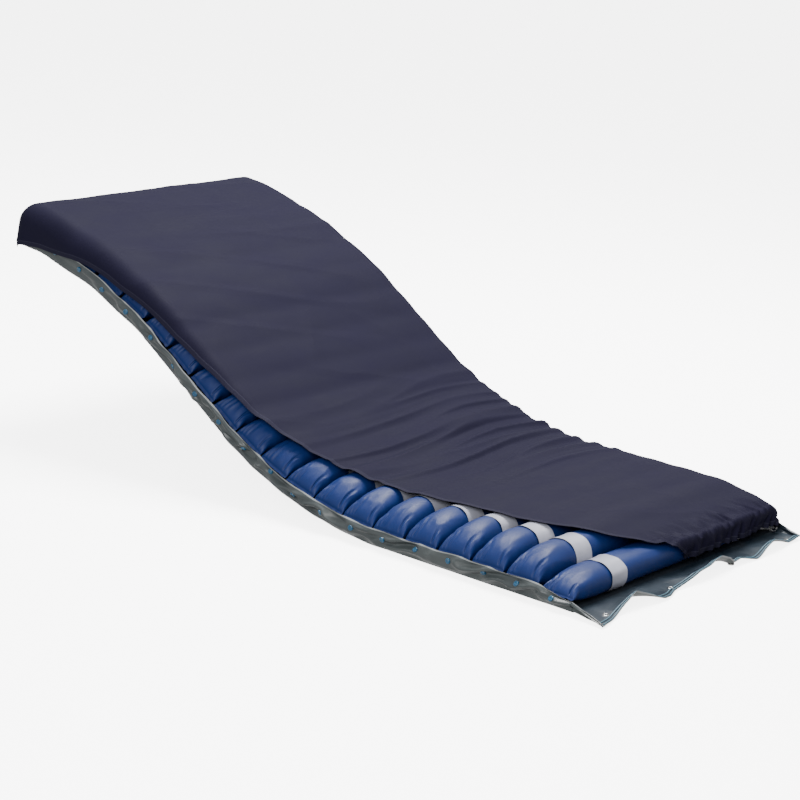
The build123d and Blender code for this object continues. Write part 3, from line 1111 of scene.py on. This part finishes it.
@dataclass
class FootFlap:
    """The sheet's flap beyond the foot end: dark inside, bound along a wavy free edge, with eyelets."""

    spine: Spine
    finishes: Finishes
    base: BaseSheet
    corner: float = 0.4435
    reach: float = 0.081
    thickness: float = 0.0016
    waves: tuple[tuple[float, float], ...] = (
        (-0.4455, 0.000), (-0.400, 0.003), (-0.300, 0.038), (-0.205, 0.001), (-0.115, 0.006),
        (0.070, 0.038), (0.150, 0.014), (0.222, 0.001), (0.315, 0.024), (0.385, 0.004),
        (0.4455, 0.008),
    )
    wall_columns: int = 12
    columns: int = 240
    rows: int = 26
    eyelets: list[float] = field(default_factory=eyelet_rows)
    seams: tuple[float, float] = (0.0035, 0.0125)
    piping_radius: float = 0.0012
    piping_steps: int = 420
    piping_turns: int = 8
    eyelet_out: float = 0.062
    eyelet_turns: int = 40
    eyelet_profile: tuple[tuple[float, float], ...] = (
        (0.0046, -0.0010), (0.0046, 0.0022), (0.0052, 0.0031), (0.0064, 0.0034), (0.0078, 0.0029),
        (0.0086, 0.0019), (0.0084, 0.0012), (0.0060, 0.0012), (0.0060, -0.0002), (0.0084, -0.0002),
        (0.0085, -0.0009), (0.0060, -0.0011), (0.0046, -0.0010),
    )

    def point(self, across: float, share: float) -> Vector:
        """A point of the flap, with share running from 0 at the foot end to 1 at its free edge."""
        if abs(across) > self.corner:
            wall = self.base.point(-self.reach * share, across)
            edge = self.point(math.copysign(self.corner, across), share)
            rest = math.copysign(self.corner, across)
            shift = edge - self.spine.stretches[0].place(-self.reach * share, rest, 0.0)
            return wall + Vector((shift.x, shift.y, max(edge.z - 0.0016, 0.0)))
        rise = 0.0
        for (y0, h0), (y1, h1) in zip(self.waves, self.waves[1:]):
            if y0 <= across <= y1:
                part = (across - y0) / (y1 - y0)
                rise = h0 + (h1 - h0) * (0.72 * part + 0.28 * smooth_step(part))
        out = self.reach * share
        height = rise * (0.25 * share + 0.75 * share ** 2.4)
        flat = max(bump(across, y, 0.030) for y in self.eyelets) * bump(out, self.eyelet_out, 0.034)
        fold = 0.0045 * share * ridged(across * 9.5, share * 0.7, 31.0) * (1.0 - flat)
        height += fold * 0.6 + 0.0015 * share * noise.noise(Vector((across * 30, share * 2.0, 8.0)))
        height = height * (1.0 - flat) - 0.0004 * flat
        out -= rise * rise * 4.0 * share
        corner = ramp(-across, self.corner - 0.10, self.corner) * share
        out += 0.0025 * share * math.sin(across * 23.0 + 1.0) - 0.002 * share + 0.024 * corner
        out += 0.016 * share * bump(across, -0.200, 0.080) + 0.008 * share * bump(across, 0.222, 0.060)
        across -= 0.026 * corner
        calf = self.spine.stretches[0]
        return calf.place(-out, across, max(height, -0.0004) + 0.0006)

    def build(self) -> None:
        """Make the flap, its bindings and its eyelets."""
        calf = self.spine.stretches[0]
        walls = [self.base.flap * (n + 1) / self.wall_columns for n in range(self.wall_columns)]
        arcs = [-self.corner - wall for wall in reversed(walls)]
        arcs += [self.corner * (2 * n / self.columns - 1) for n in range(self.columns + 1)]
        arcs += [self.corner + wall for wall in walls]

        def place(u: float, v: float) -> tuple[Vector, float, float, float]:
            across = arcs[round(u * (len(arcs) - 1))]
            gap = min(self.reach * (1 - v), self.corner + self.base.flap - abs(across))
            return self.point(across, v), across, self.reach * v, gap

        bm = cloth_grid(len(arcs) - 1, self.rows, place)
        finishes = [self.finishes.outer, self.finishes.flap_inside]
        piece = thick_cloth(bm, "foot_flap", finishes, self.thickness, inner=1)
        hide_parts(f"base_sheet_{calf.name}")
        cords = [self.add_piping(number, inset) for number, inset in enumerate(self.seams)]
        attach(piece, calf.name)
        self.add_eyelets()
        LOG.info("foot flap: %d eyelets", len(self.eyelets))

    def add_piping(self, number: int, inset: float) -> bpy.types.Object:
        """Add one line of binding along the free edge, on the upper face."""
        share = 1 - inset / self.reach

        def place(u: float, v: float) -> Vector:
            across = self.corner * 0.998 * (2 * v - 1)
            centre = self.point(across, share)
            ahead = self.point(across + 0.002, share) - centre
            beside = self.point(across, share - 0.02) - centre
            up = ahead.cross(beside).normalized()
            if up.z < 0:
                up = -up
            side = up.cross(ahead).normalized()
            turn = math.tau * u
            centre = centre + up * (self.thickness + 0.0010)
            return centre + (side * 1.7 * math.cos(turn) + up * math.sin(turn)) * self.piping_radius

        bm = tube(self.piping_turns, self.piping_steps, place)
        piece = shown(bm, f"foot_flap_piping_{number + 1}", [self.finishes.binding])
        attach(piece, self.spine.stretches[0].name)
        return piece

    def add_eyelets(self) -> None:
        """Add the metal eyelets: a rolled rim above, a barrel and a flat washer below."""
        bm = bmesh.new()
        for across in self.eyelets:
            seat = Matrix.Translation(self.spine.stretches[0].place(-self.eyelet_out, across, 0.0))
            lathe(bm, seat, self.eyelet_profile, self.eyelet_turns)
        piece = shown(bm, "eyelets", [self.finishes.metal])
        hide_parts("foot_eyelets")
        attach(piece, self.spine.stretches[0].name)


@dataclass
class TopCover:
    """The stretch cover: askew, fitted round the far side, the head end and the far foot corner."""

    spine: Spine
    finish: bpy.types.Material
    top: float = 0.1102
    thickness: float = 0.0015
    shoulder: float = 0.405
    round_off: float = 0.040
    far_reach: float = 0.492
    foot_drop: float = 0.066
    foot_shoulder: float = 0.012
    foot_sink: float = 0.036
    foot_slope: float = 0.16
    head_drop: float = 0.125
    head_shoulder: float = 0.036
    overlap: float = 0.0125
    near_edge: tuple[tuple[float, float], ...] = (
        (-0.06, -0.020), (-0.03, 0.006), (0.0, 0.052), (0.03, 0.102), (0.06, 0.140), (0.092, 0.172),
        (0.15, 0.214), (0.24, 0.257), (0.416, 0.291), (0.568, 0.321), (0.737, 0.350),
        (0.876, 0.382), (0.986, 0.408), (1.077, 0.425), (1.284, 0.449), (1.5, 0.470), (1.65, 0.483),
        (1.78, 0.503), (1.88, 0.528), (2.0, 0.548), (2.2, 0.548),
    )
    columns: int = 150
    step: float = 0.0042

    def near_reach(self, station: float) -> float:
        """How far the near edge reaches from the centre line along the cloth."""
        points = self.near_edge
        for (s0, r0), (s1, r1) in zip(points, points[1:]):
            if station < s1:
                plain = r0 + (r1 - r0) * (station - s0) / (s1 - s0)
                break
        else:
            plain = points[-1][1]
        slack = 0.003 * noise.noise(Vector((station * 6.0, 0.0, 5.0)))
        return plain + slack

    def point(self, station: float, arc: float) -> Vector:
        """A point of the cover's outer face.

        Args:
            station: the distance from the foot end along the cloth, past the ends on the end drops.
            arc: the distance across from the centre line along the cloth, negative on the near side.

        Returns:
            The point.
        """
        length = self.spine.length
        side = -1.0 if arc < 0 else 1.0
        low_end, high_end = self.foot_shoulder - 0.008, length - self.head_shoulder + 0.007
        past_side = max(abs(arc) - self.shoulder, 0.0)
        if station < low_end:
            past_end, end = low_end - station, -1.0
        elif station > high_end:
            past_end, end = station - high_end, 1.0
        else:
            past_end, end = 0.0, 0.0
        radius_side = self.round_off
        if side < 0:
            radius_side += self.overlap * ramp(station, 1.45, 1.78)
        radius_end = self.foot_shoulder if end < 0 else self.head_shoulder
        over = (past_side ** 5 + past_end ** 5) ** 0.2
        lean = math.atan2(past_end, past_side) if over > 1e-9 else 0.0
        radius = radius_side * math.cos(lean) ** 2 + radius_end * math.sin(lean) ** 2
        angle = min(over / radius, math.pi / 2)
        flat_y = math.copysign(min(abs(arc), self.shoulder), side)
        flat_s = min(max(station, low_end), high_end)
        reach = radius * math.sin(angle)
        drop = radius * (1.0 - math.cos(angle)) + max(over - radius * math.pi / 2, 0.0)
        across = flat_y + side * reach * math.cos(lean)
        along = flat_s + end * reach * math.sin(lean)
        hang = ramp(drop, 0.3 * radius, radius)
        sink = self.foot_sink * max(1.0 - flat_s / self.foot_slope, 0.0) ** 1.5
        height = self.top - sink - drop
        height += self.relief(flat_s, arc, 1.0 - hang)
        swell = self.side_folds(station, arc, drop) * hang
        across += side * swell * math.cos(lean)
        along += end * swell * math.sin(lean)
        return self.spine.point(along, across, height)

    def relief(self, station: float, arc: float, share: float) -> float:
        """How much higher the cloth lies than its plain top, at one place."""
        cell = math.cos(math.tau * (station / self.spine.pitch - 0.5))
        height = -0.0016 * (0.5 - 0.5 * cell) ** 1.6
        waist = bump(station, 0.74, 0.42) * (0.35 + 0.65 * ramp(arc, -0.42, 0.1))
        drift = 0.9 * noise.noise(Vector((arc * 1.9, station * 1.1, 9.0))) + arc * 0.5
        wave = noise.noise(Vector((station * 24.0 + drift, arc * 1.5, 12.0)))
        fold = ridged(station * 15.0 + drift, arc * 1.1 + station, 17.0)
        height += waist * (0.0052 * wave + 0.0092 * max(fold, -0.2))
        height += 0.0010 * noise.noise(Vector((station * 5.0, arc * 4.0, 3.0)))
        height += 0.0012 * max(ridged(station * 3.0, arc * 5.5, 27.0), 0.0)
        height += 0.0016 * max(ridged(station * 7.0 + arc * 2.0, arc * 1.3, 41.0), 0.0)
        high = bump(station, 1.76, 0.17) * ramp(arc, -0.30, 0.05)
        height += 0.0042 * high * max(ridged(station * 13.0 + arc * 0.8, arc * 1.1, 71.0), -0.2)
        low = bump(station, 0.012, 0.060)
        height += 0.0060 * low * max(ridged(arc * 34.0 + station * 9, station * 12.0, 61.0), -0.3)
        return max(height, -0.0048) * share

    def side_folds(self, station: float, arc: float, drop: float) -> float:
        """How far the hanging cloth stands out from its plain fall."""
        gather = 0.0
        if station < self.foot_shoulder:
            depth = ramp(drop, 0.004, 0.035)
            lean = arc + 0.35 * drop + 0.008 * noise.noise(Vector((arc * 30, drop * 40, 2.0)))
            tall = 0.5 + 1.0 * abs(noise.noise(Vector((arc * 14, 3.0, 2.0))))
            gather = depth * tall * (0.0095 * ridged(lean * 36.0, drop * 8.0, 2.0) - 0.002)
        fall = ramp(drop, 0.02, 0.10)
        loose = 0.0025 * noise.noise(Vector((station * 8.0, arc * 8.0 + 4.0, 6.0)))
        loose += 0.0020 * ridged(station * 5.0, drop * 9.0 + arc, 14.0)
        return gather + fall * loose + 0.001

    def build(self) -> None:
        """Make the cover's panels, one for each hinge."""
        low_end = self.foot_shoulder - self.foot_drop
        high_end = self.spine.length - self.head_shoulder + self.head_drop

        def place(u: float, station: float) -> tuple[Vector, float, float, float]:
            near, far = -self.near_reach(station), self.far_reach
            arc = near + (far - near) * u
            gap = min(arc - near, far - arc, station - low_end, high_end - station)
            return self.point(station, arc), arc, station, gap

        for number, low, high, piece in bending_cloth(
            self.spine, "top_cover_panel", (low_end, high_end), self.step, self.columns, place,
            [self.finish], self.thickness,
        ):
            names = [self.spine.stretches[i].name for i in (number, number + 1)]
            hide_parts(*[f"top_cover_{name}" for name in names])
            width = self.far_reach + self.near_reach((low + high) / 2)
            self.spine.bend(piece, number)
        LOG.info("cover: %d panels", len(self.spine.stretches) - 1)


@dataclass
class AirLines:
    """The two air lines that run from the inlet along the far side."""

    spine: Spine
    finish: bpy.types.Material
    radius: float = 0.004
    across: float = 0.436
    heights: tuple[tuple[str, float], ...] = (("air_line_a", 0.013), ("air_line_b", 0.025))
    last: float = 1.96
    turns: int = 14
    step: float = 0.012

    def build(self) -> None:
        """Make each line's pieces, one for each hinge."""
        for node, height in self.heights:
            foot = self.spine.stretches[0].place(0.0, 0.0, 0.0).x
            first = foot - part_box(node)[1][0]
            for number, low, high in self.spine.spans(first, self.last):

                def place(u: float, v: float) -> Vector:
                    station = low + (high - low) * v
                    sway = 0.0010 * noise.noise(Vector((station * 4, height * 50, 1.0)))
                    across = self.across + sway + self.radius * math.cos(math.tau * u)
                    up = height + sway * 0.5 + self.radius * math.sin(math.tau * u)
                    return self.spine.point(station, across, up)

                bm = tube(self.turns, max(2, round((high - low) / self.step)), place)
                piece = shown(bm, f"{node}_run_{number + 1:02d}", [self.finish])
                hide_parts(node)
                self.spine.bend(piece, number)
        LOG.info("air lines: %d", len(self.heights))


@dataclass
class AirInlet:
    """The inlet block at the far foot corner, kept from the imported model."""

    finish: bpy.types.Material

    def build(self) -> None:
        """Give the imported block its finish."""
        block = frame["nodes"]["air_inlet"]
        block.data.materials.clear()
        block.data.materials.append(self.finish)
        LOG.info("air inlet: finished")


@dataclass
class Studio:
    """A pale floor and backdrop under soft light, and the camera."""

    eye: Vector = field(default_factory=lambda: Vector((3.183, -4.552, 1.802)))
    azimuth: float = 38.12
    elevation: float = 15.29
    roll: float = -4.23
    lens: float = 103.55
    key_power: float = 640.0
    side_share: float = 0.36
    key_place: Vector = field(default_factory=lambda: Vector((-0.9, 1.3, 4.1)))
    side_place: Vector = field(default_factory=lambda: Vector((1.6, -4.2, 2.6)))
    aim: Vector = field(default_factory=lambda: Vector((-0.4, 0.0, 0.2)))
    sky: float = 1.1
    floor_glow: float = 4.8
    floor_height: float = -0.0015

    def build(self) -> None:
        """Set up the floor, the lights and the camera."""
        self.add_floor()
        self.add_camera()
        self.add_area("key_light", self.key_place, 2.4, self.key_power)
        self.add_area("side_light", self.side_place, 2.0, self.key_power * self.side_share)
        world = bpy.data.worlds.new("studio_world")
        world.use_nodes = True
        shade = world.node_tree.nodes["Background"]
        shade.inputs["Color"].default_value = (1.0, 1.0, 1.0, 1.0)
        shade.inputs["Strength"].default_value = self.sky
        bpy.context.scene.world = world
        LOG.info("studio: ready")

    def add_floor(self) -> None:
        """Add a pale floor that bends up into a backdrop far behind."""
        bm = bmesh.new()
        bmesh.ops.create_grid(bm, x_segments=8, y_segments=60, size=0.5)
        for vert in bm.verts:
            along = (vert.co.y + 0.5) * 44.0 - 14.0
            lift = max(along - 12.0, 0.0)
            rise = self.floor_height + lift ** 1.5 * 0.2
            vert.co = Vector((vert.co.x * 60.0, min(along, 16.0 + lift * 0.1), rise))
        turn = Matrix.Rotation(math.radians(self.azimuth), 4, "Z")
        bmesh.ops.transform(bm, matrix=turn, verts=bm.verts)
        material = bpy.data.materials.new("studio_white")
        material.use_nodes = True
        shader = material.node_tree.nodes["Principled BSDF"]
        shader.inputs["Base Color"].default_value = (0.9, 0.9, 0.9, 1.0)
        shader.inputs["Emission Color"].default_value = (1.0, 1.0, 1.0, 1.0)
        shader.inputs["Emission Strength"].default_value = self.floor_glow
        shader.inputs["Roughness"].default_value = 0.8
        floor = shown(bm, "studio_floor", [material])
        floor.visible_diffuse = False
        floor.visible_glossy = False

    def add_area(self, name: str, place: Vector, size: float, power: float) -> None:
        """Add a soft square light aimed at the middle of the mattress."""
        light = bpy.data.lights.new(name, "AREA")
        light.size = size
        light.energy = power
        holder = bpy.data.objects.new(name, light)
        holder.location = place
        holder.rotation_euler = (self.aim - place).to_track_quat("-Z", "Y").to_euler()
        bpy.context.scene.collection.objects.link(holder)

    def add_camera(self) -> None:
        """Add the camera."""
        azimuth, elevation, roll = (math.radians(a) for a in (self.azimuth, self.elevation, self.roll))
        back = Vector((
            math.sin(azimuth) * math.cos(elevation), -math.cos(azimuth) * math.cos(elevation),
            math.sin(elevation),
        ))
        right = Vector((math.cos(azimuth), math.sin(azimuth), 0.0))
        up = back.cross(right)
        columns = (
            right * math.cos(roll) - up * math.sin(roll),
            right * math.sin(roll) + up * math.cos(roll),
            back,
        )
        turn = Matrix([[column[row] for column in columns] for row in range(3)])
        data = bpy.data.cameras.new("camera")
        data.lens = self.lens
        camera = bpy.data.objects.new("camera", data)
        camera.matrix_world = Matrix.Translation(self.eye) @ turn.to_4x4()
        bpy.context.scene.collection.objects.link(camera)
        bpy.context.scene.camera = camera


def main() -> None:
    """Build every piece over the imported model, then the studio."""
    logging.basicConfig(level=logging.INFO, format="%(name)s: %(message)s")
    spine = Spine()
    finishes = Finishes()
    cells = AirCells(spine, finishes.cell)
    cells.build()
    CellBands(spine, cells, finishes.loop).build()
    sheet = BaseSheet(spine, finishes)
    sheet.build()
    FootFlap(spine, finishes, sheet).build()
    TopCover(spine, finishes.cover).build()
    AirLines(spine, finishes.vinyl).build()
    AirInlet(finishes.plastic).build()
    Studio().build()


if __name__ == "__main__":
    main()
